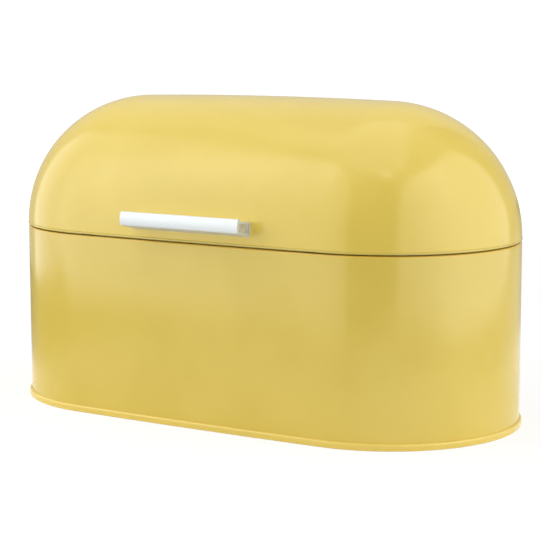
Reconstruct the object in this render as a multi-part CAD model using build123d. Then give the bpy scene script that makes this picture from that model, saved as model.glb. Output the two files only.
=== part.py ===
from build123d import *
import math
import os

# A sheet-steel bread box with round ends, a half-capsule lid and a bar handle.
# Millimetres. X runs along the box, the front faces -Y, Z is up from the ground,
# and the origin is the centre of the plan on the ground.

# Plan outline: two round ends joined by long sides that bow out slightly
length = 420.0              # over the round ends
end_radius = 101.6          # outer radius of a round end
side_bow = 1.4              # how far the middle of a long side stands past the end radius
sheet = 0.8                 # steel sheet of body, collar and lid
seat_gap = 0.05             # room between curved faces that seat on each other

# Heights from the ground
body_height = 139.2         # ground to the top of the mouth edge
seam_gap = 1.1              # open gap between the mouth edge and the lid's hem
lid_skirt = 1.2             # straight part of the lid below its dome

# Mouth edge and collar
mouth_curl = 1.4            # outer radius of the mouth edge's inward curl
mouth_ledge = 4.4           # level ledge past the curl, which carries the bumpers
collar_rise = 5.0           # collar above the mouth edge
collar_joggle = 5.0         # height of the sloping step in the collar
collar_flange = 7.0         # height of the collar's flange that is welded to the wall
collar_neck = 7.5           # straight neck above the joggle
safe_edge = 0.3             # rounding of a cut sheet edge
tool_reach = 1.0            # how far a cutting tool runs past what it cuts
level_tolerance = 0.001     # edges this near a height lie at it
head_rounding = 0.6         # rounding of screw and rivet heads, as a share of their height

# Base bead and floor
bead_height = 5.2
bead_proud = 1.8            # bead past the wall
bead_inside = 2.0           # bead inside the wall's outer face
bead_shoulder = 1.5         # rounding at the bead's top outer edge
bead_foot = 0.7             # rounding at the bead's bottom outer edge
crease_height = 1.7         # fine crease round the bead, above the ground
crease_width = 0.5
crease_depth = 0.3
wall_seat = 1.6             # the wall's lower edge above the ground, inside the bead
floor_height = 3.0          # underside of the floor's rim
panel_inset = 16.0          # raised floor panel, inside the wall's outer face
panel_rise = 1.2

# Lid hem
hem_height = 1.5            # outer band of the hem
hem_proud = 0.3             # outer band past the dome
hem_fold = 3.8              # flange folded inward past the dome's sheet
hem_fold_height = 1.6       # that flange is two sheets thick
hem_round = 0.5             # rounding of the hem's lower outer edge

# Air holes in the rear wall
vent_count = 7
vent_radius = 2.0
vent_pitch = 14.0
vent_height = 100.0

# Handle: a hollow extrusion, in the box's side view
handle_length = 105.0
handle_back_low = 7.9       # above the seam line, at the lid
handle_back_high = 19.0
handle_reach_low = 15.9     # front lower corner, out from the middle of the long side
handle_low = 12.2           # that corner above the seam line
handle_reach_high = 14.7    # front upper corner
handle_high = 22.2
handle_bulge = 1.0          # how far the front face swells past its corners
lip_thickness = 1.7
lip_root_reach = 10.6       # where the lip runs into the top face
lip_root_high = 20.3
lip_hollow = 0.4            # how far the lip's rear face is hollowed
handle_root = 8.0           # the bar is drawn this far into the lid before its back is cut
handle_skin = 1.7           # wall of the extrusion
plug_recess = 0.8
plug_depth = 6.0
plug_gap = 0.05

# Handle fasteners
screw_spacing = 66.0
screw_height = 13.5         # where the screw axis meets the lid, above the seam line
screw_radius = 1.75
screw_room = 0.2            # radial room in the holes
screw_head_radius = 3.8
screw_head_height = 2.2
screw_cross_length = 4.4
screw_cross_width = 1.0
screw_cross_depth = 1.1
screw_end = 5.6             # how far the screw reaches past the lid's outer face
washer_radius = 5.0
washer_thickness = 0.8
nut_across = 5.8
nut_thickness = 2.4

# Hinges
hinge_x = 75.0              # hinge centre from the middle of the box
hinge_width = 30.0
centre_knuckle = 13.4       # width of the lid leaf's knuckle
knuckle_gap = 0.3
knuckle_radius = 2.5
pin_radius = 1.2
pin_room = 0.05
pin_head_radius = 1.9
pin_head_height = 0.8
hinge_standoff = 0.75       # knuckle clear of the wall
leaf_thickness = 1.0
leaf_length = 24.0          # from the hinge axis to a leaf's far edge
leaf_corner = 4.0
leaf_start = 3.7            # both leaves start this far from the hinge axis
neck_length = 2.4           # overlap of a knuckle's neck with its leaf
neck_bend = 0.4             # where the neck leaves the knuckle, as a share of its radius
neck_inside = 0.95          # reach of the neck's inner corner, as a share of that radius
open_angle = 98.0
tail_reach = 5.2            # stop tail on the lid leaf, behind the hinge axis
tail_low = 1.5              # underside of the tail above the hinge axis
stop_gap = 0.15             # left between tail and lug at the open angle
lug_top = 3.1               # stop lug on the body leaf, below the hinge axis
lug_bottom = 6.2
lug_foot = 8.4

# Rivets
rivet_spacing = 18.0
rivet_reach = 18.5          # rivets this far from the hinge axis, along Z
rivet_radius = 1.6
rivet_room = 0.05
rivet_head_radius = 3.0
rivet_head_height = 1.1
rivet_tail_radius = 2.6
rivet_tail_height = 0.9

# Silicone bumpers on the mouth edge
bumper_x = 100.0
bumper_length = 10.0
bumper_inset = 2.6          # bumper's face behind the wall's outer face
bumper_play = 0.1           # left between the bumper and the lid's hem

# Sizes that follow
half_depth = end_radius + side_bow
end_centre = length / 2 - end_radius
side_radius = (end_centre**2 + half_depth**2 - end_radius**2) / (2 * side_bow)
side_centre = side_radius - half_depth
seam_height = body_height + seam_gap / 2
lid_edge = body_height + seam_gap
dome_height = lid_edge + lid_skirt
collar_face = mouth_curl + mouth_ledge + seat_gap
hinge_z = seam_height


def side_depth(x):
    """Half depth of the wall's outer face at x, on a bowed long side."""
    return math.sqrt(side_radius**2 - x**2) - side_centre


hinge_y = side_depth(hinge_x) + knuckle_radius + hinge_standoff


def outline(grow):
    """Plan outline grown outward by the given amount: four arcs that meet in tangents."""
    turn = math.atan2(end_centre, side_centre)
    join_x = (side_radius + grow) * math.sin(turn)
    join_y = (side_radius + grow) * math.cos(turn) - side_centre
    middle = half_depth + grow
    tip = length / 2 + grow
    rear = ThreePointArc((-join_x, join_y), (0, middle), (join_x, join_y))
    right = ThreePointArc((join_x, join_y), (tip, 0), (join_x, -join_y))
    front = ThreePointArc((join_x, -join_y), (0, -middle), (-join_x, -join_y))
    left = ThreePointArc((-join_x, -join_y), (-tip, 0), (-join_x, join_y))
    return make_face(Wire([rear, right, front, left]))


def block(grow, low, high):
    """Upright solid inside the grown outline between two heights."""
    return Pos(0, 0, low) * extrude(outline(grow), high - low)


def ring(outer, inner, low, high):
    """Upright wall between two grown outlines."""
    return block(outer, low, high) - block(inner, low - tool_reach, high + tool_reach)


def edges_at(solid, height):
    """Level edges of a solid at one height."""
    return solid.edges().filter_by_position(Axis.Z, height - level_tolerance, height + level_tolerance)


def dome(grow):
    """Half capsule: the grown outline's rear half turned half a turn about the long axis."""
    turn = math.atan2(end_centre, side_centre)
    join_x = (side_radius + grow) * math.sin(turn)
    join_y = (side_radius + grow) * math.cos(turn) - side_centre
    tip = length / 2 + grow
    bend = (math.pi / 2 + turn) / 2
    bend_x = end_centre + (end_radius + grow) * math.sin(bend)
    bend_y = (end_radius + grow) * math.cos(bend)
    left = ThreePointArc((-tip, 0), (-bend_x, bend_y), (-join_x, join_y))
    slopes = [(math.cos(turn), math.sin(turn)), (math.cos(turn), -math.sin(turn))]
    middle = Spline((-join_x, join_y), (0, half_depth + grow), (join_x, join_y), tangents=slopes)
    right = ThreePointArc((join_x, join_y), (bend_x, bend_y), (tip, 0))
    base = Line((tip, 0), (-tip, 0))
    profile = make_face(Wire([left, middle, right, base]))
    return Pos(0, 0, dome_height) * revolve(profile, Axis.X, 180)


def slab(points, low, high):
    """Side-view polygon (Y, Z) made into a solid between two X values."""
    face = make_face(Polyline([(0, y, z) for y, z in points], close=True))
    return Pos(low, 0, 0) * extrude(face, high - low, dir=(1, 0, 0))


def rod(radius, place, low, high):
    """Round rod along a place's axis, between two distances from the outer face."""
    return place * Pos(0, 0, low) * extrude(Circle(radius), high - low)


def wall_place(x, height):
    """Plane on the rear wall's outer face, its axis pointing out."""
    lean = x / side_radius
    normal = (lean, math.sqrt(1 - lean**2), 0)
    return Plane(origin=(x, side_depth(x), height), x_dir=(1, -lean, 0), z_dir=normal)


def lid_place(x, height, side):
    """Plane on the lid's outer face at a height, on the front (-1) or rear (1) side."""
    reach = side_depth(x)
    climb = math.asin((height - dome_height) / reach)
    lean = x / side_radius
    level = math.sqrt(1 - lean**2)
    origin = (x, side * reach * math.cos(climb), dome_height + reach * math.sin(climb))
    normal = (lean, side * level * math.cos(climb), level * math.sin(climb))
    return Plane(origin=origin, x_dir=(1, -side * lean, 0), z_dir=normal)


def screw_places():
    """Where the handle screws cross the lid's outer face."""
    height = seam_height + screw_height
    return [lid_place(side * screw_spacing / 2, height, -1) for side in (-1, 1)]


def rivet_columns():
    """X of each rivet, two on every hinge."""
    return [side * hinge_x + step * rivet_spacing / 2 for side in (-1, 1) for step in (-1, 1)]


def body_rivet_places():
    """Where the body leaves' rivets cross the wall's outer face."""
    return [wall_place(x, hinge_z - rivet_reach) for x in rivet_columns()]


def lid_rivet_places():
    """Where the lid leaves' rivets cross the lid's outer face."""
    return [lid_place(x, hinge_z + rivet_reach, 1) for x in rivet_columns()]


def wall_outside(grow):
    """Solid inside the body wall's outer face, with the mouth edge's curl."""
    solid = block(grow, wall_seat, body_height + grow)
    return fillet(edges_at(solid, body_height + grow), mouth_curl + grow)


def body_wall():
    """Rolled wall with its top curled inward to a narrow ledge, and air holes at the rear."""
    inner = block(-sheet, wall_seat - tool_reach, body_height - sheet)
    inner = fillet(edges_at(inner, body_height - sheet), mouth_curl - sheet)
    mouth = block(-mouth_curl - mouth_ledge, body_height - 2 * sheet, body_height + tool_reach)
    wall = wall_outside(0) - inner - mouth
    for index in range(vent_count):
        x = (index - (vent_count - 1) / 2) * vent_pitch
        wall -= rod(vent_radius, wall_place(x, vent_height), -2 * sheet, sheet)
    for place in body_rivet_places():
        wall -= rod(rivet_radius + rivet_room, place, -2 * sheet, sheet)
    return wall


def base_pan():
    """Pressed floor with a raised panel, closed onto the wall by a rolled bead."""
    outer = block(bead_proud, 0, bead_height)
    outer = fillet(edges_at(outer, bead_height), bead_shoulder)
    outer = fillet(edges_at(outer, 0), bead_foot)
    bead = outer - block(-bead_inside, -tool_reach, bead_height + tool_reach)
    bead -= ring(seat_gap, -sheet - seat_gap, wall_seat, bead_height + tool_reach)
    crease_low = crease_height - crease_width / 2
    crease_high = crease_low + crease_width
    bead -= ring(bead_proud + tool_reach, bead_proud - crease_depth, crease_low, crease_high)
    floor_top = floor_height + sheet
    rim = ring(-bead_inside + sheet, -panel_inset, floor_height, floor_top)
    riser = ring(-panel_inset + sheet, -panel_inset, floor_height, floor_top + panel_rise)
    panel = block(-panel_inset, floor_height + panel_rise, floor_top + panel_rise)
    return bead + rim + riser + panel


def mouth_collar():
    """Ring welded inside the mouth: a flange on the wall, a sloping joggle and a neck."""
    neck_top = body_height + collar_rise
    neck_low = neck_top - collar_neck
    flange_top = neck_low - collar_joggle
    flange_low = flange_top - collar_flange

    def skin(inset, extra):
        """The ring's profile as a solid, drawn in by an inset."""
        flange_face = -sheet - seat_gap - inset
        neck_face = -collar_face - inset
        wide = Pos(0, 0, flange_top) * outline(flange_face)
        narrow = Pos(0, 0, neck_low) * outline(neck_face)
        solid = block(flange_face, flange_low - extra, flange_top) + loft([wide, narrow])
        return solid + block(neck_face, neck_low, neck_top + extra)

    collar = skin(0, 0) - skin(sheet, tool_reach)
    return fillet(edges_at(collar, neck_top), safe_edge)


def lid_shell():
    """Half-capsule lid with a short skirt, an outer hem band and a flange folded inward."""
    band = block(hem_proud, lid_edge, lid_edge + hem_height)
    band = fillet(edges_at(band, lid_edge), hem_round)
    fold_top = lid_edge + hem_fold_height
    void = dome(-sheet) - block(tool_reach, lid_edge, fold_top)
    shell = dome(0) + band - void - block(-sheet - hem_fold, lid_edge - tool_reach, fold_top)
    for place in lid_rivet_places():
        shell -= rod(rivet_radius + rivet_room, place, -4 * sheet, 4 * sheet)
    for place in screw_places():
        shell -= rod(screw_radius + screw_room, place, -4 * sheet, 4 * sheet)
    return shell


def handle_corners():
    """Side-view corners of the handle as (Y, Z), keyed by where they are."""
    root = -half_depth + handle_root
    low_slope = (handle_low - handle_back_low) / handle_reach_low
    high_slope = (lip_root_high - handle_back_high) / lip_root_reach
    box_reach = (handle_reach_low + handle_reach_high) / 2
    return {
        "root_low": (root, seam_height + handle_back_low - handle_root * low_slope),
        "front_low": (-half_depth - handle_reach_low, seam_height + handle_low),
        "front_high": (-half_depth - handle_reach_high, seam_height + handle_high),
        "lip_back": (-half_depth - handle_reach_high + lip_thickness, seam_height + handle_high),
        "lip_root": (-half_depth - lip_root_reach, seam_height + lip_root_high),
        "box_high": (-half_depth - box_reach, seam_height + handle_back_high + box_reach * high_slope),
        "root_high": (root, seam_height + handle_back_high - handle_root * high_slope),
    }


def handle_section():
    """Outer section of the bar: swollen front, grip lip and a top that slopes to the lid."""
    at = {name: Vector(0, y, z) for name, (y, z) in handle_corners().items()}
    rise = (at["front_high"] - at["front_low"]).normalized()
    crest = (at["front_low"] + at["front_high"]) / 2 + Vector(0, -rise.Z, rise.Y) * handle_bulge
    hollow = (at["lip_back"] + at["lip_root"]) / 2 - Vector(0, 0, lip_hollow)
    front = ThreePointArc(at["front_low"], crest, at["front_high"])
    lip_top = Line(at["front_high"], at["lip_back"])
    lip_rear = ThreePointArc(at["lip_back"], hollow, at["lip_root"])
    top = Line(at["lip_root"], at["root_high"])
    back = Line(at["root_high"], at["root_low"])
    under = Line(at["root_low"], at["front_low"])
    return make_face(Wire([front, lip_top, lip_rear, top, back, under]))


def handle_hollow(gap, low, high):
    """Solid that fills the bar's hollow between two X values, drawn in by a gap."""
    at = handle_corners()
    box = [at["root_low"], at["front_low"], at["box_high"], at["root_high"]]
    face = make_face(Polyline([(0, y, z) for y, z in box], close=True))
    face = offset(face, -handle_skin - gap, kind=Kind.INTERSECTION)
    solid = Pos(low, 0, 0) * extrude(face, high - low, dir=(1, 0, 0))
    return solid - dome(handle_skin + gap)


def handle_bar():
    """Hollow aluminium bar across the lid's front, its back cut to the dome."""
    bar = Pos(-handle_length / 2, 0, 0) * extrude(handle_section(), handle_length, dir=(1, 0, 0))
    bar -= handle_hollow(0, -handle_length, handle_length)
    bar -= dome(seat_gap)
    for place in screw_places():
        bar -= rod(screw_radius + screw_room, place, -tool_reach, 2 * handle_skin)
    return bar


def handle_end_plugs():
    """Plugs pressed into the bar's two ends, a little below the rims."""
    outer = handle_length / 2 - plug_recess
    left = handle_hollow(plug_gap, -outer, -outer + plug_depth)
    right = handle_hollow(plug_gap, outer - plug_depth, outer)
    return [left, right]


def washer_face():
    """Outer face of a flat washer inside the lid's curve, from the lid's outer face."""
    return -sheet - washer_radius**2 / (2 * (half_depth - sheet)) - seat_gap


def rounded_head(radius, place, seat, height):
    """Low round head that stands from its seat, the far edge rounded; negative heights face inward."""
    low, high = min(seat, seat + height), max(seat, seat + height)
    head = rod(radius, Plane.XY, low, high)
    far = edges_at(head, seat + height)
    return place * fillet(far, abs(height) * head_rounding)


def handle_screws():
    """Pan-head screws with a cross recess, from inside the lid into the bar."""
    screws = []
    seat = washer_face() - washer_thickness
    for place in screw_places():
        screw = rounded_head(screw_head_radius, place, seat, -screw_head_height)
        screw += rod(screw_radius, place, seat, screw_end)
        for turn in (0, 90):
            arm = Rot(0, 0, turn) * Box(screw_cross_length, screw_cross_width, 2 * screw_cross_depth)
            screw -= place * Pos(0, 0, seat - screw_head_height) * arm
        screws.append(screw)
    return screws


def handle_washers():
    """Flat washers between the screw heads and the lid's inner face."""
    seat = washer_face()
    washers = []
    for place in screw_places():
        washer = rod(washer_radius, place, seat - washer_thickness, seat)
        washers.append(washer - rod(screw_radius + screw_room, place, 2 * seat - washer_thickness, 0))
    return washers


def handle_nuts():
    """Square nuts inside the bar, drawn against its back wall."""
    nuts = []
    low = handle_skin + seat_gap
    for place in screw_places():
        body = extrude(RectangleRounded(nut_across, nut_across, safe_edge), nut_thickness)
        nut = place * Pos(0, 0, low) * body
        nuts.append(nut - rod(screw_radius + pin_room, place, 0, screw_end + tool_reach))
    return nuts


def leaf_footprint(side, up):
    """Straight block along Y with the leaf's outline: far corners rounded, near edge square."""
    height = leaf_length - leaf_start
    plate = Pos(0, leaf_start + height / 2) * Rectangle(hinge_width, height)
    plate = fillet(plate.vertices().sort_by(Axis.Y)[-2:], leaf_corner)
    upright = Plane(origin=(side * hinge_x, 0, hinge_z), x_dir=(up, 0, 0), z_dir=(0, -1, 0))
    return upright * extrude(plate, -2 * half_depth)


def hinge_neck(up, low, high):
    """Sheet that runs from a leaf to its curl round the pin, between two X values."""
    inner = -knuckle_radius - hinge_standoff - side_bow
    face = -knuckle_radius - hinge_standoff + leaf_thickness + seat_gap
    bend = knuckle_radius * neck_bend
    points = [
        (inner, leaf_start + neck_length),
        (inner, leaf_start),
        (-knuckle_radius * neck_inside, bend),
        (0, 0),
        (0, knuckle_radius),
        (face + leaf_thickness, leaf_start),
        (face, leaf_start + neck_length / 2),
        (face, leaf_start + neck_length),
    ]
    return slab([(hinge_y + y, hinge_z + up * z) for y, z in points], low, high)


def stop_face(z):
    """Y of the stop lug's face at a height, so that the tail lies along it when the lid is open."""
    angle = math.radians(open_angle)
    return (tail_low - stop_gap - z * math.cos(angle)) / math.sin(angle)


def curl_bore(side):
    """Bore for the pin through a hinge's knuckles."""
    axis = Plane(origin=(side * hinge_x, hinge_y, hinge_z), z_dir=(1, 0, 0))
    return rod(pin_radius + pin_room, axis, -hinge_width, hinge_width)


def hinge_body_leaf(side):
    """Leaf on the rear wall with two outer knuckles and the lug that stops the lid."""
    centre = side * hinge_x
    leaf = ring(leaf_thickness + seat_gap, seat_gap, hinge_z - 2 * leaf_length, hinge_z)
    leaf = leaf & leaf_footprint(side, -1)
    inner_edge = centre_knuckle / 2 + knuckle_gap
    for low, high in ((-hinge_width / 2, -inner_edge), (inner_edge, hinge_width / 2)):
        axis = Plane(origin=(centre, hinge_y, hinge_z), z_dir=(1, 0, 0))
        curl = rod(knuckle_radius, axis, low, high) + hinge_neck(-1, centre + low, centre + high)
        leaf += curl - wall_outside(seat_gap)
    lug = [
        (-knuckle_radius - hinge_standoff - side_bow, -lug_top),
        (stop_face(-lug_top), -lug_top),
        (stop_face(-lug_bottom), -lug_bottom),
        (leaf_thickness - knuckle_radius - hinge_standoff, -lug_foot),
        (-knuckle_radius - hinge_standoff - side_bow, -lug_foot),
    ]
    lug = [(hinge_y + y, hinge_z + z) for y, z in lug]
    low = centre - centre_knuckle / 2 + knuckle_gap
    leaf += slab(lug, low, low + centre_knuckle - 2 * knuckle_gap) - wall_outside(seat_gap)
    leaf -= curl_bore(side)
    for place in body_rivet_places():
        leaf -= rod(rivet_radius + rivet_room, place, -tool_reach, 2 * leaf_thickness)
    return leaf


def hinge_lid_leaf(side):
    """Leaf on the back of the lid with the centre knuckle and the tail that meets the lug."""
    centre = side * hinge_x
    leaf = (dome(leaf_thickness + seat_gap) - dome(seat_gap)) & leaf_footprint(side, 1)
    half = centre_knuckle / 2
    axis = Plane(origin=(centre, hinge_y, hinge_z), z_dir=(1, 0, 0))
    curl = rod(knuckle_radius, axis, -half, half) + hinge_neck(1, centre - half, centre + half)
    tail = [(0, knuckle_radius), (tail_reach, knuckle_radius), (tail_reach, tail_low), (0, tail_low)]
    tail = [(hinge_y + y, hinge_z + z) for y, z in tail]
    curl += slab(tail, centre - half, centre + half)
    clear_hem = block(hem_proud + seat_gap, lid_edge - tool_reach, lid_edge + hem_height + seat_gap)
    leaf += curl - dome(seat_gap) - clear_hem
    leaf -= curl_bore(side)
    for place in lid_rivet_places():
        leaf -= rod(rivet_radius + rivet_room, place, -tool_reach, 2 * leaf_thickness)
    return leaf


def hinge_pin(side):
    """Pin with a head at each end, through the three knuckles."""
    axis = Plane(origin=(side * hinge_x, hinge_y, hinge_z), z_dir=(1, 0, 0))
    half = hinge_width / 2
    pin = rod(pin_radius, axis, -half, half)
    pin += rounded_head(pin_head_radius, axis, half, pin_head_height)
    return pin + rounded_head(pin_head_radius, axis, -half, -pin_head_height)


def leaf_rivets(places):
    """Rivets through a leaf and the sheet behind it, with a head outside and one inside."""
    face = leaf_thickness + 2 * seat_gap
    inner = -sheet - rivet_tail_radius**2 / (2 * (half_depth - sheet)) - seat_gap
    rivets = []
    for place in places:
        rivet = rod(rivet_radius, place, inner, face)
        rivet += rounded_head(rivet_head_radius, place, face, rivet_head_height)
        rivets.append(rivet + rounded_head(rivet_tail_radius, place, inner, -rivet_tail_height))
    return rivets


def mouth_bumpers():
    """Silicone pads on the mouth edge, against the collar, just short of the lid's hem."""
    top = lid_edge - bumper_play
    band = ring(-bumper_inset, -collar_face + seat_gap, body_height - mouth_curl, top)
    band -= wall_outside(seat_gap)
    pads = []
    for x in (-bumper_x, bumper_x):
        for y in (-half_depth, half_depth):
            pads.append(band & Pos(x, y, top) * Box(bumper_length, end_radius, 2 * mouth_curl + 2 * seam_gap))
    return pads


parts = {
    "body_wall": body_wall(),
    "base_pan": base_pan(),
    "mouth_collar": mouth_collar(),
    "mouth_bumpers": mouth_bumpers(),
    "lid_shell": lid_shell(),
    "handle_bar": handle_bar(),
    "handle_end_plugs": handle_end_plugs(),
    "handle_screws": handle_screws(),
    "handle_washers": handle_washers(),
    "handle_nuts": handle_nuts(),
    "body_leaf_rivets": leaf_rivets(body_rivet_places()),
    "lid_leaf_rivets": leaf_rivets(lid_rivet_places()),
}
for word, side in (("left", -1), ("right", 1)):
    parts["hinge_body_leaf_" + word] = hinge_body_leaf(side)
    parts["hinge_lid_leaf_" + word] = hinge_lid_leaf(side)
    parts["hinge_pin_" + word] = hinge_pin(side)

os.makedirs("parts", exist_ok=True)
for name, shape in parts.items():
    pieces = shape if isinstance(shape, list) else [shape]
    solids = [solid for piece in pieces for solid in piece.solids()]
    export_step(solids[0] if len(solids) == 1 else Compound(solids), f"parts/{name}.step")
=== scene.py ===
import bpy
import numpy as np
from mathutils import Matrix, Vector


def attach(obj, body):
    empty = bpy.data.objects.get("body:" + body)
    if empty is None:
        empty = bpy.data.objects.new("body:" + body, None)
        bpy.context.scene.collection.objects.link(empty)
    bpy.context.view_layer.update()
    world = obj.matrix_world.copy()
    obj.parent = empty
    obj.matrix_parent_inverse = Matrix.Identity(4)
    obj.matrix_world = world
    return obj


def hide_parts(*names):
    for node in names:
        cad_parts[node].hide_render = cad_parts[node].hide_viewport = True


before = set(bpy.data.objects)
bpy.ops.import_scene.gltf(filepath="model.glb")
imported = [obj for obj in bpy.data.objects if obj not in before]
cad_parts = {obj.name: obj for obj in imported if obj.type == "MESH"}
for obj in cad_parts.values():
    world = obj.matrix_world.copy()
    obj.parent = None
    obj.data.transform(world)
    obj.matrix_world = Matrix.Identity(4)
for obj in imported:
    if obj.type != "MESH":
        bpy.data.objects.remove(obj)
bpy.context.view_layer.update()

# Body wall. A strip of 0.8 mm sheet steel rolled to a long oval with slightly bowed sides
# and full round ends, its top edge curled inward to a level ledge, and seven air holes
# punched in its rear. It is powder coated inside and out. Sizes are in millimetres.
LENGTH = 420.0
END_RADIUS = 101.6
SIDE_BOW = 1.4
SHEET = 0.8
WALL_FOOT = 1.6
WALL_TOP = 139.2
CURL = 1.4
LEDGE = 4.4
VENTS = 7
VENT_PITCH = 14.0
VENT_HEIGHT = 100.0
VENT_RADIUS = 2.0
VENT_LIP = 0.12
VENT_CELLS = 8
VENT_ROW = 13
UPPER_STEPS = 5
FLANK_STEPS = 11
SIDE_STEPS = 30
END_STEPS = 72

HALF_DEPTH = END_RADIUS + SIDE_BOW
END_CENTRE = LENGTH / 2 - END_RADIUS
SIDE_RADIUS = (END_CENTRE**2 + HALF_DEPTH**2 - END_RADIUS**2) / (2 * SIDE_BOW)
SIDE_CENTRE = SIDE_RADIUS - HALF_DEPTH
JOIN_TURN = np.arctan2(END_CENTRE, SIDE_CENTRE)
JOIN_X = SIDE_RADIUS * np.sin(JOIN_TURN)


def plan(rear_x=None):
    """Columns round the plan, anticlockwise from the front right: arc centre, radius, normal.

    The outline is four arcs that meet in tangents, two round ends and two long bowed sides. A
    column's point on the outline grown by g is centre + (radius + g) * unit normal.
    """
    side_x = np.linspace(JOIN_X, -JOIN_X, SIDE_STEPS + 1)
    rear_x = side_x if rear_x is None else rear_x
    bend = np.linspace(-1, 1, END_STEPS + 1) * (np.pi / 2 - JOIN_TURN)
    rear = np.arccos(rear_x / SIDE_RADIUS)
    front = -np.arccos(side_x[::-1] / SIDE_RADIUS)
    arcs = [(bend, END_CENTRE, 0, END_RADIUS), (rear, 0, -SIDE_CENTRE, SIDE_RADIUS),
            (bend + np.pi, -END_CENTRE, 0, END_RADIUS), (front, 0, SIDE_CENTRE, SIDE_RADIUS)]
    angle = np.concatenate([turns[:-1] for turns, _, _, _ in arcs])
    arc = np.concatenate([np.tile([x, y, r], (len(turns) - 1, 1)) for turns, x, y, r in arcs])
    columns = np.column_stack([arc, np.cos(angle), np.sin(angle)])
    return np.vstack([columns, columns[:1]])


def carried(columns, profile):
    """Grid of a profile of (grow, height) points carried round the plan, one row a point."""
    x, y, radius, across, along = columns.T
    grow, height = np.asarray(profile, float).T[:, :, None]
    reach = radius + grow
    return np.stack(np.broadcast_arrays(x + reach * across, y + reach * along, height), -1)


def rounded(corners, steps=6):
    """Run through (across, up, radius) corners, each turned by an arc of its radius.

    An arc leaves both runs at radius / tan(half the corner's angle), and its centre lies on
    the corner's bisector at radius / sin(half the angle).
    """
    nearly_straight = 1.56
    corners = np.asarray(corners, float)
    run = [corners[0, :2]]
    for before, (across, up, radius), after in zip(corners, corners[1:], corners[2:]):
        corner = np.array([across, up])
        u = before[:2] - corner
        w = after[:2] - corner
        u, w = u / np.hypot(*u), w / np.hypot(*w)
        half = np.arccos(np.clip(u @ w, -1, 1)) / 2
        if radius == 0 or half > nearly_straight:
            run.append(corner)
            continue
        middle = corner + (u + w) / np.hypot(*(u + w)) * radius / np.sin(half)
        start = corner + u * radius / np.tan(half) - middle
        side = np.array([-start[1], start[0]]) * np.sign(start[1] * u[0] - start[0] * u[1])
        turn = np.linspace(0, np.pi - 2 * half, steps + 1)[:, None]
        run.extend(middle + start * np.cos(turn) + side * np.sin(turn))
    return np.array([*run, corners[-1, :2]])


WELDS_PER_MM = 1e4


def joined(points, faces, per_unit):
    """Points that round to the same place made one, and the faces' corners to match."""
    cell = np.round(points * per_unit).astype(np.int64)
    _, pick, place = np.unique(cell, axis=0, return_index=True, return_inverse=True)
    return points[pick], place.reshape(-1)[faces]


def finished(name, points, faces, material, body, nodes, sharp):
    """A piece of points in metres that stands for nodes of the part, crisp at sharp edges."""
    mesh = bpy.data.meshes.new(name)
    mesh.from_pydata(points.tolist(), [], faces)
    mesh.validate()
    mesh.shade_smooth()
    mesh.set_sharp_from_angle(angle=np.radians(sharp))
    mesh.materials.append(material)
    piece = bpy.data.objects.new(name, mesh)
    bpy.context.scene.collection.objects.link(piece)
    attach(piece, body)
    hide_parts(*nodes)
    return piece


def skin(name, grids, material, body, nodes, sharp=32):
    """A piece made of grids of points in millimetres, which stands for nodes of the part.

    Neighbours in a grid are joined by quads. Points in one place become one, so seams and
    poles close, and a quad that shrinks to a line at a pole becomes a triangle.
    """
    points, quads, start = [], [], 0
    for grid in grids:
        rows, columns = grid.shape[:2]
        first = start + np.arange(rows * columns).reshape(rows, columns)
        corners = [first[:-1, :-1], first[:-1, 1:], first[1:, 1:], first[1:, :-1]]
        quads.append(np.stack(corners, -1).reshape(-1, 4))
        points.append(grid.reshape(-1, 3))
        start += rows * columns
    points, quads = joined(np.concatenate(points), np.concatenate(quads), WELDS_PER_MM)
    differs = quads != np.roll(quads, -1, axis=1)
    whole = quads[differs.all(1)]
    one_pair = differs.sum(1) == 3
    pinched = quads[one_pair][differs[one_pair]].reshape(-1, 3)
    faces = whole.tolist() + pinched.tolist()
    return finished(name, points * 0.001, faces, material, body, nodes, sharp)


class Value:
    """A socket of a material, with arithmetic that adds the Math nodes."""

    def __init__(self, paint, socket):
        self.paint, self.socket = paint, socket

    def _math(self, operation, first, second):
        return self.paint.node("Math", {"operation": operation}, {0: first, 1: second})

    def __add__(self, other):
        return self._math("ADD", self, other)

    def __sub__(self, other):
        return self._math("SUBTRACT", self, other)

    def __rsub__(self, other):
        return self._math("SUBTRACT", other, self)

    def __mul__(self, other):
        return self._math("MULTIPLY", self, other)

    def __truediv__(self, other):
        return self._math("DIVIDE", self, other)

    def __abs__(self):
        return self._math("ABSOLUTE", self, 0.0)

    __radd__, __rmul__ = __add__, __mul__


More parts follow.
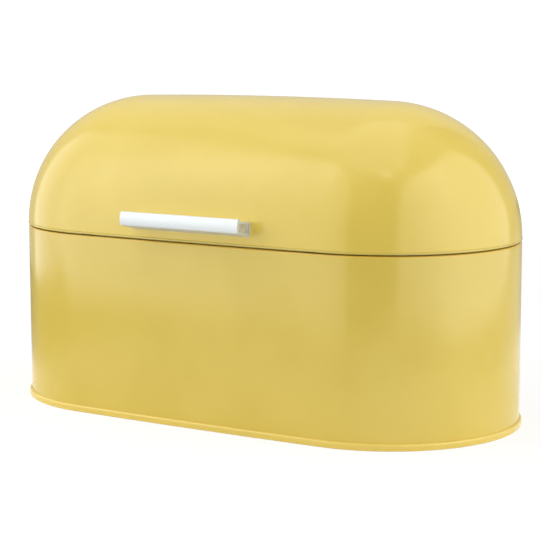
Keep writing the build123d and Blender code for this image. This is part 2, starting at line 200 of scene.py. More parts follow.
class Paint:
    """The nodes of one material or world."""

    def __init__(self, owner):
        self.owner = owner
        owner.use_nodes = True
        self.tree = owner.node_tree
        self.tree.nodes.clear()

    def node(self, kind, settings=None, sockets=None, out=0):
        """A node of a kind: its settings first, then its sockets' values or links."""
        made = self.tree.nodes.new("ShaderNode" + kind)
        for key, value in (settings or {}).items():
            setattr(made, key, value)
        for key, value in (sockets or {}).items():
            if isinstance(value, Value):
                self.tree.links.new(value.socket, made.inputs[key])
            else:
                made.inputs[key].default_value = value
        return Value(self, made.outputs[out]) if made.outputs else made

    def place(self):
        """Where a point is on the object, in metres."""
        return self.node("TexCoord", out="Object")

    def axis(self, vector, letter):
        """A vector's X, Y or Z."""
        return self.node("SeparateXYZ", None, {0: vector}, out=letter)

    def noise(self, scale, detail=2.0, rough=0.5, where=None):
        """Soft noise about 0.5, its grain 1 / scale metres."""
        where = where or self.place()
        sockets = {"Vector": where, "Scale": scale, "Detail": detail, "Roughness": rough}
        return self.node("TexNoise", None, sockets)

    def band(self, value, low, high):
        """0 below low, 1 above high, smooth between."""
        sockets = {"Value": value, "From Min": low, "From Max": high}
        return self.node("MapRange", {"interpolation_type": "SMOOTHSTEP"}, sockets)

    def rays(self):
        """Two masks: 1 for rays from the camera, and 1 for rays off gloss or through glass."""
        kinds = ("Is Camera Ray", "Is Glossy Ray", "Is Transmission Ray")
        camera, off_gloss, through = [self.node("LightPath", out=kind) for kind in kinds]
        return camera, off_gloss + through

    def mix(self, share, first, second):
        """The first colour, and a share of the second."""
        return self.node("Mix", {"data_type": "RGBA"}, {0: share, 6: first, 7: second}, out=2)

    def bump(self, height, depth):
        """Normal of a height field that is depth metres high."""
        return self.node("Bump", None, {"Height": height, "Distance": depth, "Strength": 1.0})

    def coat(self, sockets):
        """The finished surface."""
        shader = self.node("BsdfPrincipled", None, sockets)
        self.node("OutputMaterial", None, {"Surface": shader})
        return self.owner


def colour(red, green, blue):
    """A colour given as it looks on a screen, 0 to 255, as the light it stands for."""
    share = np.array([red, green, blue]) / 255
    light = np.where(share < 0.04045, share / 12.92, ((share + 0.055) / 1.055) ** 2.4)
    return (*light.tolist(), 1.0)


def powder_coat(name, low=None, high=None, painted_light_tone=None, shade=1.0):
    """Baked pale yellow powder: faintly cloudy, with specks, orange peel and a painted band.

    The cloudiness is a noise of 60 mm that moves the colour between two yellows, each scaled
    by shade, a painted light or shade that makes a lighter or darker copy of the same paint.
    Specks of 1.4 mm are a little deeper and rougher. The peel is two noises of 1.1 and 0.35 mm,
    added as height. Between two heights in metres the powder takes the band's tone: a painted
    highlight where that tone is lighter, a painted shade where it is darker.
    """
    paint = Paint(bpy.data.materials.new(name))
    yellow = colour(224 * shade, 197 * shade, 83 * shade)
    pale = colour(228 * shade, 201 * shade, 89 * shade)
    cloud = paint.band(paint.noise(16.0, 3.0), 0.35, 0.65)
    tone = paint.mix(cloud, yellow, pale)
    # Painted light and shade: between the two heights the tone turns to a lighter or darker band
    # along an edge.
    if painted_light_tone:
        fade = 0.0004
        height = paint.axis(paint.place(), "Z")
        edge = paint.band(height, low - fade, low) * (1 - paint.band(height, high, high + fade))
        tone = paint.mix(edge * 0.8, tone, painted_light_tone)
    speck = paint.band(paint.noise(700.0, 1.0), 0.6, 0.78)
    tone = paint.mix(speck * 0.10, tone, colour(205, 178, 66))
    peel = paint.noise(900.0, 2.0) * 0.7 + paint.noise(2800.0, 1.0) * 0.3
    satin = 0.14 + 0.04 * paint.noise(45.0, 2.0) + 0.04 * speck
    return paint.coat({
        "Base Color": tone,
        "Roughness": satin,
        "IOR": 1.5,
        "Normal": paint.bump(peel, 0.000008),
    })


vents_end = VENTS / 2 * VENT_PITCH
wall_x = np.concatenate([
    np.linspace(JOIN_X, vents_end, FLANK_STEPS + 1)[:-1],
    np.linspace(vents_end, -vents_end, VENTS * VENT_CELLS + 1),
    np.linspace(-vents_end, -JOIN_X, FLANK_STEPS + 1)[1:],
])
wall_columns = plan(wall_x)
vent_low, vent_high = VENT_HEIGHT - VENT_PITCH / 2, VENT_HEIGHT + VENT_PITCH / 2
vent_rows = np.linspace(vent_low, vent_high, VENT_CELLS + 1)
wall_rows = np.concatenate([np.linspace(WALL_FOOT, vent_low, VENT_ROW + 1)[:-1], vent_rows,
                            np.linspace(vent_high, WALL_TOP - CURL, UPPER_STEPS + 1)[1:]])

# The curl's run starts and ends on the wall, at a height that only aims it and is dropped
CURL_AIM = 120
ledge_end, ledge_under = -CURL - LEDGE, WALL_TOP - SHEET
mouth = rounded([(0, CURL_AIM, 0), (0, WALL_TOP, CURL), (ledge_end, WALL_TOP, 0.3),
                 (ledge_end, ledge_under, 0.3), (-SHEET, ledge_under, CURL - SHEET),
                 (-SHEET, CURL_AIM, 0)], 8)[1:-1]
outer_face = np.column_stack([np.zeros_like(wall_rows), wall_rows])
inner_face = np.column_stack([np.full_like(wall_rows, -SHEET), wall_rows])[::-1]
wall_grid = carried(wall_columns, np.vstack([outer_face, mouth, inner_face, outer_face[:1]]))

# A square of the wall's cells makes way for each air hole, and a ring of new cells runs from
# the square's edge to the hole. The walk goes right, up, left and down round a unit square.
cells = VENT_CELLS
walk = np.arange(4 * cells + 1) % (4 * cells)
first_half = walk <= 2 * cells
square_x = np.clip(np.where(first_half, walk, 3 * cells - walk), 0, cells) / cells - 0.5
square_z = np.clip(np.where(first_half, walk - cells, 4 * cells - walk), 0, cells) / cells - 0.5
ring_turn = np.arctan2(square_z, square_x)


def vent_grid(index, faces):
    """Ring of cells round an air hole, from the square's edge over the lip and through.

    Each (share, radius, grow) row lies on the wall grown by grow, a share of the way from the
    square to the circle of its radius.
    """
    share, radius, grow = np.asarray(faces, float).T[:, :, None]
    middle = (index - VENTS // 2) * VENT_PITCH
    x = middle + square_x * VENT_PITCH * (1 - share) + radius * np.cos(ring_turn) * share
    z = VENT_HEIGHT + square_z * VENT_PITCH * (1 - share) + radius * np.sin(ring_turn) * share
    angle = np.arccos(x / SIDE_RADIUS)
    reach = SIDE_RADIUS + grow
    return np.stack([reach * np.cos(angle), reach * np.sin(angle) - SIDE_CENTRE, z], -1)


vent_faces = [(0, 0, 0), (0.5, VENT_RADIUS + VENT_LIP, 0), (1, VENT_RADIUS + VENT_LIP, 0),
              (1, VENT_RADIUS + 0.3 * VENT_LIP, -0.3 * VENT_LIP), (1, VENT_RADIUS, -VENT_LIP),
              (1, VENT_RADIUS, VENT_LIP - SHEET), (1, VENT_RADIUS + VENT_LIP, -SHEET),
              (0.5, VENT_RADIUS + VENT_LIP, -SHEET), (0, 0, -SHEET)]
vents = [vent_grid(index, vent_faces) for index in range(VENTS)]
vent_row_end = VENT_ROW + VENT_CELLS
outer_foot = wall_grid[:VENT_ROW + 1]
mouth_part = wall_grid[vent_row_end:-(vent_row_end + 1)]
inner_foot = wall_grid[-(VENT_ROW + 2):]
outer_strip = wall_grid[VENT_ROW:vent_row_end + 1]
inner_strip = wall_grid[-(vent_row_end + 2):-(VENT_ROW + 1)]
vents_from = END_STEPS + FLANK_STEPS
vents_to = vents_from + VENTS * VENT_CELLS
wall_grids = [outer_foot, mouth_part, inner_foot]
for strip in (outer_strip, inner_strip):
    wall_grids += [strip[:, :vents_from + 1], strip[:, vents_to:]]
# The curl round the mouth's top is painted brighter and more orange, a painted highlight, and the
# wall's paint is scaled to 0.992, a slight painted shade.
wall_powder_painted_light = powder_coat("wall_powder_painted_light", 0.1378, 0.1392, colour(232, 196, 78), 0.992)
skin("wall_skin", wall_grids + vents, wall_powder_painted_light, "box", ["body_wall"])

# Base pan. The floor is pressed from the same sheet with a raised panel, and its edge is
# rolled over the wall's foot into a bead that the box stands on. A fine crease runs round
# the bead where the roll closes. Corners are (out from the wall's face, height, radius).
PANEL_OVER, PANEL_UNDER = 5.0, 4.2
SPINE_INSET = 60
bead = rounded([(-2.0, 3.0, 0), (-2.0, 0.0, 0.4), (1.8, 0.0, 0.7), (1.8, 1.45, 0.12),
                (1.5, 1.7, 0.12), (1.8, 1.95, 0.12), (1.8, 5.2, 1.5), (0.05, 5.2, 0.1),
                (0.05, 1.6, 0), (-0.85, 1.6, 0), (-0.85, 5.2, 0.2), (-2.0, 5.2, 0.4),
                (-2.0, 3.8, 0.6), (-9.0, 3.8, 0)])
panel_over = rounded([(-9.0, 3.8, 0), (-15.2, 3.8, 0.7), (-15.2, PANEL_OVER, 0.7),
                      (-40.0, PANEL_OVER, 0)])[1:]
panel_under = rounded([(-40.0, PANEL_UNDER, 0), (-16.0, PANEL_UNDER, 0.4), (-16.0, 3.0, 0.7),
                       (-9.0, 3.0, 0)])
oval = plan()


def spine(height):
    """The row that closes a level sheet: every column's point drawn to the long axis.

    Its x is centre + (radius - inset) * the normal's x, kept between the ends' centres.
    """
    x = oval[:, 0] + (oval[:, 2] - SPINE_INSET) * oval[:, 3]
    x = np.clip(x, -END_CENTRE, END_CENTRE)
    return np.column_stack([x, 0 * x, 0 * x + height])[None]


base_rows = carried(oval, np.vstack([panel_under, bead, panel_over]))
base_grid = np.concatenate([spine(PANEL_UNDER), base_rows, spine(PANEL_OVER)])
# The whole pan, bead and all, is painted a paler, brighter yellow, a painted light on the bead.
base_powder_painted_light = powder_coat("base_powder_painted_light", 0.0, 0.0052, colour(238, 210, 102))
skin("base_skin", [base_grid], base_powder_painted_light, "box", ["base_pan"])

# Mouth collar. A ring of the same sheet welded inside the mouth: a flange on the wall, a
# sloping joggle and a straight neck that stands 5 mm above the mouth edge, so that crumbs
# and dust stay out and the lid finds its place. It is the dark face seen in the seam, and
# its powder is painted darker than the rest, a painted shade for the deep seam.
collar = rounded([(-0.85, 128, 0), (-0.85, 131.7, 1.2), (-5.85, 136.7, 1.2),
                  (-5.85, 144.2, 0.3), (-6.65, 144.2, 0.3), (-6.65, 136.7, 1.6),
                  (-1.65, 131.7, 1.6), (-1.65, 124.7, 0.2), (-0.85, 124.7, 0.2),
                  (-0.85, 128, 0)])
# The collar's paint is scaled to 0.86, a painted shade that darkens the seam.
collar_powder_painted_shade = powder_coat("collar_powder_painted_shade", shade=0.86)
collar_grid = carried(oval, collar)
skin("collar_skin", [collar_grid], collar_powder_painted_shade, "box", ["mouth_collar"])

# Lid. Half a capsule pressed from the same sheet, with a 1.2 mm skirt. Its edge is folded
# into a flat flange two sheets thick, which rests on the pads and stands 0.3 mm proud of
# the dome as a fine band all round.
LID_EDGE = 140.3
DOME_HEIGHT = 141.5
HEM_HEIGHT = 1.5
HEM_PROUD = 0.3
FOLD_INSIDE = 4.6
FOLD_TOP = 141.9
DOME_START = 0.8
CLIMB_STEPS = 48


def dome_depth(x, grow):
    """Half depth of the grown outline at x: the bowed side, and past the join the round end."""
    x = np.abs(x)
    join = (SIDE_RADIUS + grow) * np.sin(JOIN_TURN)
    side = np.sqrt((SIDE_RADIUS + grow) ** 2 - np.minimum(x, join) ** 2) - SIDE_CENTRE
    end = np.sqrt(np.maximum((END_RADIUS + grow) ** 2 - (x - END_CENTRE) ** 2, 0))
    return np.where(x <= join, side, end)


def dome_grid(grow, climb):
    """Grid on the half capsule, one row an angle of climb from the skirt to the ridge.

    The half capsule is the outline turned about the long axis. A column climbs a meridian of
    the round end's ball, x = centre + radius * cos(climb) * normal, or on a side nearly
    straight up; its turn about the axis has the tangent sin(climb) / (cos(climb) * normal).
    """
    centre, _, radius, across, along = oval.T
    climb = np.asarray(climb)[:, None]
    join = (SIDE_RADIUS + grow) * np.sin(JOIN_TURN)
    end_x = centre + (radius + grow) * np.cos(climb) * across
    side_x = (radius + grow) * across * (END_CENTRE + (join - END_CENTRE) * np.cos(climb)) / join
    x = np.where(np.abs(centre) > 1, end_x, side_x)
    turn = np.arctan2(np.sin(climb), np.cos(climb) * np.abs(along))
    depth = dome_depth(x, grow)
    front = np.sign(np.where(np.abs(along) < 1e-9, 0, along))
    return np.stack([x, front * depth * np.cos(turn), DOME_HEIGHT + depth * np.sin(turn)], -1)


band_top = LID_EDGE + HEM_HEIGHT
hem = rounded([(-SHEET, FOLD_TOP, 0), (-FOLD_INSIDE, FOLD_TOP, 0.5),
               (-FOLD_INSIDE, LID_EDGE, 0.5), (HEM_PROUD, LID_EDGE, 0.5),
               (HEM_PROUD, band_top, 0.25), (-0.15, band_top + 0.1, 0.1),
               (-0.02, band_top + 0.5, 0)])
over_start = np.arcsin((band_top + DOME_START - DOME_HEIGHT) / HALF_DEPTH)
under_start = np.arcsin((FOLD_TOP - DOME_HEIGHT) / HALF_DEPTH)
share = np.linspace(0, 1, CLIMB_STEPS + 1)
lid_grid = np.concatenate([
    dome_grid(-SHEET, (under_start + (np.pi / 2 - under_start) * share)[::-1]),
    carried(oval, hem),
    dome_grid(0.0, over_start + (np.pi / 2 - over_start) * share),
])
# The lid's paint is scaled to 1.025, painted light that makes it brighter than the wall, and its
# proud band at the edge is painted a darker greenish yellow, a painted shade.
lid_powder_painted_light = powder_coat("lid_powder_painted_light", 0.1404, 0.1417, colour(208, 188, 82), 1.025)
skin("lid_skin", [lid_grid], lid_powder_painted_light, "lid", ["lid_shell"])

# Handle. A hollow aluminium extrusion 105 mm long, satin anodised: a slightly rounded front
# face, a grip lip along its top, and a back cut to the lid's curve. The section is given in
# the side view, reach in front of the long side and height above the seam's middle.
HANDLE_HALF = 52.5
SEAM = 139.75
SEAT_GAP = 0.05
BACK_LOW, BACK_HIGH = 7.9, 19.0
FRONT_LOW, FRONT_HIGH = (15.9, 12.2), (14.7, 22.2)
FRONT_BULGE = 1.0
LIP_BACK, LIP_ROOT, LIP_HOLLOW = (13.0, 22.2), (10.6, 20.3), 0.4
BAR_SKIN = 1.7
BAR_STEPS = 14
HOLLOW_DEPTH = 8
EDGE_BREAK = 0.22


def side_view(reach, height):
    """A point of the handle's side view as (y, z)."""
    return np.array([-HALF_DEPTH - reach, SEAM + height])


def bowed(start, end, rise, steps):
    """Shallow arc between two points: the chord, plus rise * (1 - share**2) across it."""
    share = np.linspace(-1, 1, steps)[:, None]
    chord = end - start
    across = np.array([-chord[1], chord[0]]) / np.hypot(*chord)
    return start + chord * (share + 1) / 2 + across * rise * (1 - share**2)


def on_dome(front, back, depth):
    """Where the line from a front point through a back point meets the lid's circle."""
    step = back - front
    away = front - np.array([0, DOME_HEIGHT])
    a, b, c = step @ step, 2 * away @ step, away @ away - depth**2
    return front + step * (-b - np.sqrt(b * b - 4 * a * c)) / (2 * a)


def moved(first, second, inset):
    """The line through two points moved to its left by an inset."""
    step = second - first
    left = np.array([-step[1], step[0]]) / np.hypot(*step) * inset
    return first + left, second + left


def crossing(first, second):
    """Where two lines cross, each given by two points."""
    (p, q), (r, s) = first, second
    share = np.linalg.solve(np.column_stack([q - p, r - s]), r - p)
    return p + (q - p) * share[0]


def round_lid(high, low, steps):
    """Arc along the lid's circle from a high point to a low one."""
    centre = np.array([0, DOME_HEIGHT])
    start, end = high - centre, low - centre
    angle = np.linspace(np.arctan2(start[1], start[0]), np.arctan2(end[1], end[0]), steps)
    return centre + np.hypot(*start) * np.column_stack([np.cos(angle), np.sin(angle)])


def straight(first, second, steps):
    """Even points on a line."""
    return first + (second - first) * np.linspace(0, 1, steps)[:, None]


def bar_loop(x):
    """The bar's outer section at x, from its lower back edge round the front and over the top."""
    depth = dome_depth(x, SEAT_GAP)
    low, high = side_view(*FRONT_LOW), side_view(*FRONT_HIGH)
    lip, root = side_view(*LIP_BACK), side_view(*LIP_ROOT)
    back_low = on_dome(low, side_view(0, BACK_LOW), depth)
    back_high = on_dome(root, side_view(0, BACK_HIGH), depth)
    loop = [straight(back_low, low, 7), bowed(low, high, FRONT_BULGE, 17), straight(high, lip, 4),
            bowed(lip, root, -LIP_HOLLOW, 7), straight(root, back_high, 7),
            round_lid(back_high, back_low, 9)]
    return np.vstack([run[:-1] for run in loop] + [loop[-1][-1:]])


def hollow_loop(x, inset):
    """The bar's hollow at x, its walls an inset thick, in as many points as the bar has.

    Its floor, roof and front are the bar's underside, top and front moved in by the inset,
    and its corners are where they cross each other and the lid's circle.
    """
    depth = dome_depth(x, inset)
    low, middle = side_view(*FRONT_LOW), (FRONT_LOW[0] + FRONT_HIGH[0]) / 2
    slope = (LIP_ROOT[1] - BACK_HIGH) / LIP_ROOT[0]
    high = side_view(middle, BACK_HIGH + middle * slope)
    under = moved(low, side_view(0, BACK_LOW), inset)
    over = moved(side_view(0, BACK_HIGH), high, inset)
    front = moved(high, low, inset)
    front_low, front_high = crossing(under, front), crossing(over, front)
    back_low = on_dome(front_low, under[1], depth)
    back_high = on_dome(front_high, over[0], depth)
    loop = [straight(back_low, front_low, 7), straight(front_low, front_high, 17),
            straight(front_high, back_high, 16), round_lid(back_high, back_low, 9)]
    return np.vstack([run[:-1] for run in loop] + [loop[-1][-1:]])


def at_x(x, loop):
    """A side-view loop placed at x."""
    return np.column_stack([np.full(len(loop), x), loop])


def satin_aluminium(name, bright):
    """Anodised aluminium with fine drawing lines along the bar.

    The lines are noise stretched 60 times along X. They move the tone, the roughness and, with
    a fine cloudiness, a small bump.
    """
    paint = Paint(bpy.data.materials.new(name))
    stretched = paint.node("Mapping", None, {"Vector": paint.place(), "Scale": (1.0, 60.0, 60.0)})
    lines = paint.noise(60.0, 3.0, 0.6, stretched)
    cloud = paint.noise(120.0, 2.0)
    tone = paint.mix(lines, bright, tuple(0.93 * c for c in bright[:3]) + (1.0,))
    return paint.coat({
        "Base Color": tone,
        "Metallic": 0.85,
        "Roughness": 0.56 + 0.10 * lines + 0.05 * cloud,
        "Coat Weight": 0.1,
        "Coat Roughness": 0.25,
        "Normal": paint.bump(lines * 0.7 + cloud * 0.3, 0.000006),
    })


bar_x = np.linspace(-HANDLE_HALF, HANDLE_HALF, BAR_STEPS + 1)
bar_grid = np.stack([at_x(x, bar_loop(x)) for x in bar_x], axis=1)
bar_ends = []
for x, inner_x in ((-HANDLE_HALF, HOLLOW_DEPTH - HANDLE_HALF),
                   (HANDLE_HALF, HANDLE_HALF - HOLLOW_DEPTH)):
    rim = [at_x(x, bar_loop(x)), at_x(x, hollow_loop(x, BAR_SKIN)),
           at_x(inner_x, hollow_loop(inner_x, BAR_SKIN))]
    bar_ends.append(np.stack(rim[::-1] if x < 0 else rim, axis=1))
bar = skin("bar_skin", [bar_grid, *bar_ends], satin_aluminium("bar_satin", colour(206, 210, 211)),
           "lid", ["handle_bar"], sharp=30)
edge = bar.modifiers.new("broken_edges", "BEVEL")
edge.width, edge.segments, edge.limit_method = EDGE_BREAK * 0.001, 2, "ANGLE"
edge.angle_limit = np.radians(40)
edge.harden_normals = True

# End plugs. Two cast plugs pressed into the bar's open ends, a little below the rims. Each
# face is a shallow dish: (depth below the face, share of the way from its middle to the
# bar's hollow) from the middle of the dish over its rim and back to the plug's inner end.
PLUG_RECESS, PLUG_DEPTH, PLUG_GAP = 0.8, 6.0, 0.05
PLUG_DISH = [(0.15, 0), (0.15, 0.55), (0.12, 0.82), (0, 0.92), (0, 0.97), (0.3, 1),
             (PLUG_DEPTH, 1), (PLUG_DEPTH, 0)]
face_x = HANDLE_HALF - PLUG_RECESS
plug_grids = []
for end in (-1, 1):
    loop = hollow_loop(end * face_x, BAR_SKIN + PLUG_GAP)
    middle = loop[:-1].mean(0)
    loops = [at_x(end * (face_x - depth), middle + (loop - middle) * share)
             for depth, share in PLUG_DISH]
    plug_grids.append(np.stack(loops[::-1] if end > 0 else loops, axis=1))


def cast_plug(name):
    """Dull cast aluminium: patches of 3 mm in two greys, and a sandy grain of 0.7 mm."""
    paint = Paint(bpy.data.materials.new(name))
    sand = paint.noise(1500.0, 3.0, 0.6)
    patches = paint.band(paint.noise(300.0, 2.0), 0.4, 0.65)
    return paint.coat({
        "Base Color": paint.mix(patches, colour(204, 203, 194), colour(182, 179, 166)),
        "Metallic": 0.6,
        "Roughness": 0.5 + 0.2 * sand,
        "Normal": paint.bump(sand, 0.00003),
    })


skin("plug_skin", plug_grids, cast_plug("plug_cast"), "lid", ["handle_end_plugs"])

# Small parts. Two riveted hinges of pressed steel leaves on a headed pin, the screws, washers
# and nuts that hold the handle, and the pads that the lid rests on. They keep the part's own
# solids, with their loose triangles joined so that round faces shade smooth.


def welded(node, material, body):
    """A node's mesh with its loose triangles joined, in a new piece that stands for it."""
    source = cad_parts[node].data
    points = np.empty(len(source.vertices) * 3, np.float32)
    source.vertices.foreach_get("co", points)
    corners = np.empty(len(source.loops), np.int32)
    source.loops.foreach_get("vertex_index", corners)
    points, corners = points.reshape(-1, 3).astype(float), corners.reshape(-1, 3)
    points, faces = joined(points, corners, WELDS_PER_MM * 1000)
    faces = faces[(faces != np.roll(faces, -1, axis=1)).all(1)].tolist()
    finished(node + "_finish", points, faces, material, body, [node], sharp=30)


def zinc_plate(name, tone, dark, grain):
    """Bright zinc on pressed steel: cloudy spangle, fine pits, and grey where it has rubbed.

    The spangle is noise of 1 / grain metres; the rubbed patches are a noise of 7 mm.
    """
    paint = Paint(bpy.data.materials.new(name))
    spangle = paint.noise(grain, 4.0, 0.6)
    pits = paint.noise(2400.0, 2.0)
    rubbed = paint.band(paint.noise(140.0, 3.0), 0.52, 0.72)
    finish = paint.mix(paint.band(spangle, 0.35, 0.7), tone, dark)
    return paint.coat({
        "Base Color": paint.mix(rubbed * 0.35, finish, dark),
        "Metallic": 1.0,
        "Roughness": 0.26 + 0.18 * spangle + 0.1 * rubbed,
        "Normal": paint.bump(pits * 0.6 + spangle * 0.4, 0.000015),
    })


leaf_zinc = zinc_plate("leaf_zinc", colour(206, 208, 212), colour(176, 178, 182), 420.0)
for side in ("left", "right"):
    welded("hinge_body_leaf_" + side, leaf_zinc, "box")
    welded("hinge_lid_leaf_" + side, leaf_zinc, "lid")

pin_steel = zinc_plate("pin_steel", colour(190, 191, 194), colour(150, 151, 154), 900.0)
for side in ("left", "right"):
    welded("hinge_pin_" + side, pin_steel, "box")

rivet_metal = zinc_plate("rivet_metal", colour(218, 219, 221), colour(190, 191, 194), 700.0)
welded("body_leaf_rivets", rivet_metal, "box")
welded("lid_leaf_rivets", rivet_metal, "lid")

screw_zinc = zinc_plate("screw_zinc", colour(204, 206, 208), colour(168, 170, 174), 600.0)
for node in ("handle_screws", "handle_washers", "handle_nuts"):
    welded(node, screw_zinc, "lid")


def silicone(name):
    """Dark matt silicone: slightly cloudy, with a fine moulded grain."""
    paint = Paint(bpy.data.materials.new(name))
    haze = paint.noise(260.0, 2.0)
    tone = paint.mix(haze, colour(46, 41, 32), colour(36, 32, 24))
    return paint.coat({
        "Base Color": tone,
        "Roughness": 0.55 + 0.15 * haze,
        "Normal": paint.bump(paint.noise(1800.0), 0.00001),
    })


welded("mouth_bumpers", silicone("pad_silicone"), "box")

# Camera. It stands 1.41 m away at the photograph's angle, 33 degrees right of the front and
# 8 degrees up, and looks through a long lens. Its place and turn come from a fit to the
# photograph's outlines; the focal length is in picture widths.
AZIMUTH, ELEVATION, ROLL = np.radians([32.563, 8.088, -0.148])
DISTANCE, ASIDE, AIM_HEIGHT = 1.410917, 0.003538, 0.107440
FOCAL_WIDTHS = 1786.94 / 540
SENSOR = 36.0


def toward(azimuth, elevation):
    """Unit vector at an azimuth from the front and an elevation, in radians."""
    level = np.cos(elevation)
    return np.array([np.sin(azimuth) * level, -np.cos(azimuth) * level, np.sin(elevation)])


back = toward(AZIMUTH, ELEVATION)
level = np.array([np.cos(AZIMUTH), np.sin(AZIMUTH), 0.0])
upward = np.cross(back, level)
right = np.cos(ROLL) * level + np.sin(ROLL) * upward
upright = np.cos(ROLL) * upward - np.sin(ROLL) * level
station = ASIDE * right + np.array([0.0, 0.0, AIM_HEIGHT]) + DISTANCE * back
lens = bpy.data.cameras.new("lens")
lens.sensor_width, lens.lens = SENSOR, SENSOR * FOCAL_WIDTHS
lens.clip_start, lens.clip_end = 0.05, 60.0
camera = bpy.data.objects.new("camera", lens)
stance = np.column_stack([right, upright, back, station])
camera.matrix_world = Matrix(np.vstack([stance, [0, 0, 0, 1]]).tolist())
bpy.context.scene.collection.objects.link(camera)
bpy.context.scene.camera = camera

# Lamps. Four soft boxes, at the left, the left front, the right and overhead, light the box
# evenly. Its gloss doesn't show them, because the surround below has the shapes that it
# reflects.
BOX_MIDDLE = 0.12


def soft_box(name, azimuth, elevation, distance, width, height, radiance):
    """A rectangular lamp that faces the box; its power is pi * area * radiance.

    Its angles are in degrees, and its distance in metres is from the middle of the box.
    """
    lamp = bpy.data.lights.new(name, "AREA")
    lamp.shape, lamp.size, lamp.size_y = "RECTANGLE", width, height
    lamp.energy = np.pi * width * height * radiance
    away = toward(*np.radians([azimuth, elevation]))
    holder = bpy.data.objects.new(name, lamp)
    holder.location = distance * away + np.array([0, 0, BOX_MIDDLE])
    holder.rotation_euler = Vector(-away).to_track_quat("-Z", "Y").to_euler()
    holder.visible_glossy = False
    bpy.context.scene.collection.objects.link(holder)


soft_box("left_box", -80, 22, 1.5, 1.5, 1.3, 1.0)
soft_box("left_front_box", -42, 22, 1.5, 0.75, 1.3, 2.25)
soft_box("right_box", 92, 22, 1.6, 2.6, 1.5, 1.36)
soft_box("top_box", -47, 82, 1.5, 1.5, 1.4, 1.05)

# Surround. White to the camera, a faint even light, and for the gloss a room: tall windows
# at the left and right, a panel overhead, a darker corner at the front right and another at
# the rear right. Bearing is in degrees from the front to the right, rise in degrees up.
SOFT_LIGHT = 0.41
PANEL_GLOW, PAIR_GLOW = 1.9, 12.0
FRONT_CORNER_GLOW, REAR_CORNER_GLOW = 0.5, 0.54
sky = Paint(bpy.data.worlds.new("surround"))
bpy.context.scene.world = sky.owner
direction = sky.node("TexCoord", out="Generated")
east, north, up = [sky.axis(direction, letter) for letter in "XYZ"]
bearing = sky.node("Math", {"operation": "ARCTAN2"}, {0: east, 1: 0 - north}) * np.degrees(1)
rise = sky.node("Math", {"operation": "ARCSINE"}, {0: up}) * np.degrees(1)


def window(middle, half_width, foot, half_height):
    """1 inside the rounded box across**4 + high**4 = 1 of bearing and rise, soft at its edge."""
    across, high = (bearing - middle) / half_width, (rise - foot) / half_height
    reach = across * across * across * across + high * high * high * high
    return 1 - sky.band(reach, 0.84, 1.16)


def swell(middle, width):
    """1 at a bearing, falling smoothly to 0 a width away on both sides."""
    return 1 - sky.band(abs(bearing - middle), 0.0, width)


left_window = window(-55.0, 50.0, -10, 65)
left_glow = 1.7 + 0.42 * (1 - sky.band(bearing, -30.0, -5.0)) + 1.3 * swell(-50, 24)
right_window = window(96.5, 58.5, -10, 66.5)
right_glow = 2.0 + 1.45 * swell(93, 55)

# The panel overhead is round, and cut off along a line at its rear right
ahead, aside = (0 - north) / abs(up), east / abs(up)
panel_round = 1 - sky.band(aside * aside + ahead * ahead, 0.31, 0.38)
panel_cut = 1 - sky.band(aside * 0.85 - ahead * 0.53, 0.20, 0.27)
panel = panel_round * panel_cut * sky.band(up, 0.2, 0.4)

room = (1 - left_window) * (1 - right_window) * (1 - panel)
front_corner = (sky.band(bearing, -12.0, -2.0) * (1 - sky.band(bearing, 38.0, 46.0))
                * (1 - sky.band(rise, 50.0, 56.0)))
rear_corner = sky.band(bearing, 145.0, 152.0) * (1 - sky.band(rise, 50.0, 62.0))
walls = (1 - front_corner) * (1 - rear_corner) * (0.55 + 0.5 * sky.band(rise, 0.0, 55.0))
corners = front_corner * FRONT_CORNER_GLOW + rear_corner * REAR_CORNER_GLOW
lamp_pair = window(20.5, 2.0, 58.7, 0.8) + window(30.5, 2.2, 59.0, 0.9)
gloss = (left_window * left_glow + right_window * right_glow + panel * PANEL_GLOW
         + room * (walls + corners) + lamp_pair * PAIR_GLOW)
camera_ray, mirrored = sky.rays()
strength = camera_ray + mirrored * gloss + (1 - camera_ray - mirrored) * SOFT_LIGHT
light = sky.node("Background", None, {"Color": (1, 1, 1, 1), "Strength": strength})
sky.node("OutputWorld", None, {"Surface": light})

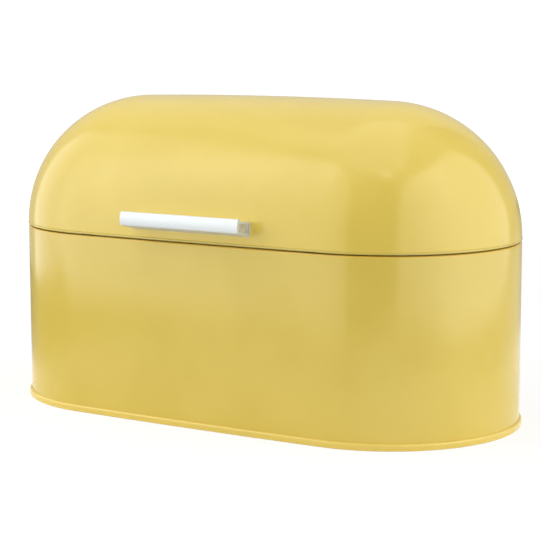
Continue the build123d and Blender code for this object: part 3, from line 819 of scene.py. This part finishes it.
# Floor. White paper, lifted to white for the camera without losing the box's shadow. What
# the gloss sees of it is a table, greyer at the left and behind the box, that ends at a
# front edge and two sides, past which the surround shows. Sizes are in metres.
WEST_LOSS, REAR_LOSS = 0.62, 0.45
FLOOR_RADIUS, FLOOR_DROP, RIM = 30, 0.00002, 96
rim_angle = np.linspace(0, 2 * np.pi, RIM + 1)[:-1]
rim = np.column_stack([FLOOR_RADIUS * np.cos(rim_angle), FLOOR_RADIUS * np.sin(rim_angle),
                       0 * rim_angle - FLOOR_DROP])
floor_mesh = bpy.data.meshes.new("floor")
floor_mesh.from_pydata(rim.tolist(), [], [list(range(RIM))])
floor = bpy.data.objects.new("floor", floor_mesh)
bpy.context.scene.collection.objects.link(floor)

ground = Paint(bpy.data.materials.new("white_paper"))
camera_ray, mirrored = ground.rays()
spot = ground.place()
east, north = ground.axis(spot, "X"), ground.axis(spot, "Y")
away = ground.node("VectorMath", {"operation": "LENGTH"}, {0: spot}, out="Value")
west_side = 1 - ground.band(east, -0.40, -0.25)
behind = ground.band(north, 0.0, 0.14)
near_tone = 0.85 - 0.40 * ground.band(away, 0.38, 0.55)
shade = camera_ray * 0.25 + (1 - camera_ray) * near_tone * (1 - west_side * WEST_LOSS)
paper = ground.node("BsdfDiffuse", None, {"Color": shade})
table_tone = (0.22 + 0.5 * ground.band(east, 0.05, 0.30)) * (1 - west_side * WEST_LOSS)
lift = (camera_ray * (0.78 + 0.20 * ground.band(away, 0.5, 2.0))
        + mirrored * table_tone * (1 - behind * REAR_LOSS))
glow = ground.node("Emission", None, {"Color": (1, 1, 1, 1), "Strength": lift})
lit_paper = ground.node("AddShader", None, {0: paper, 1: glow})
table = (ground.band(east, -0.88, -0.82) * (1 - ground.band(east, 0.60, 0.66))
         * ground.band(north, -0.60, -0.50))
past_edge = mirrored * (1 - table)
clear = ground.node("BsdfTransparent")
seen = ground.node("MixShader", None, {0: past_edge, 1: lit_paper, 2: clear})
ground.node("OutputMaterial", None, {"Surface": seen})
floor_mesh.materials.append(ground.owner)

bpy.context.scene.view_settings.view_transform = "Standard"
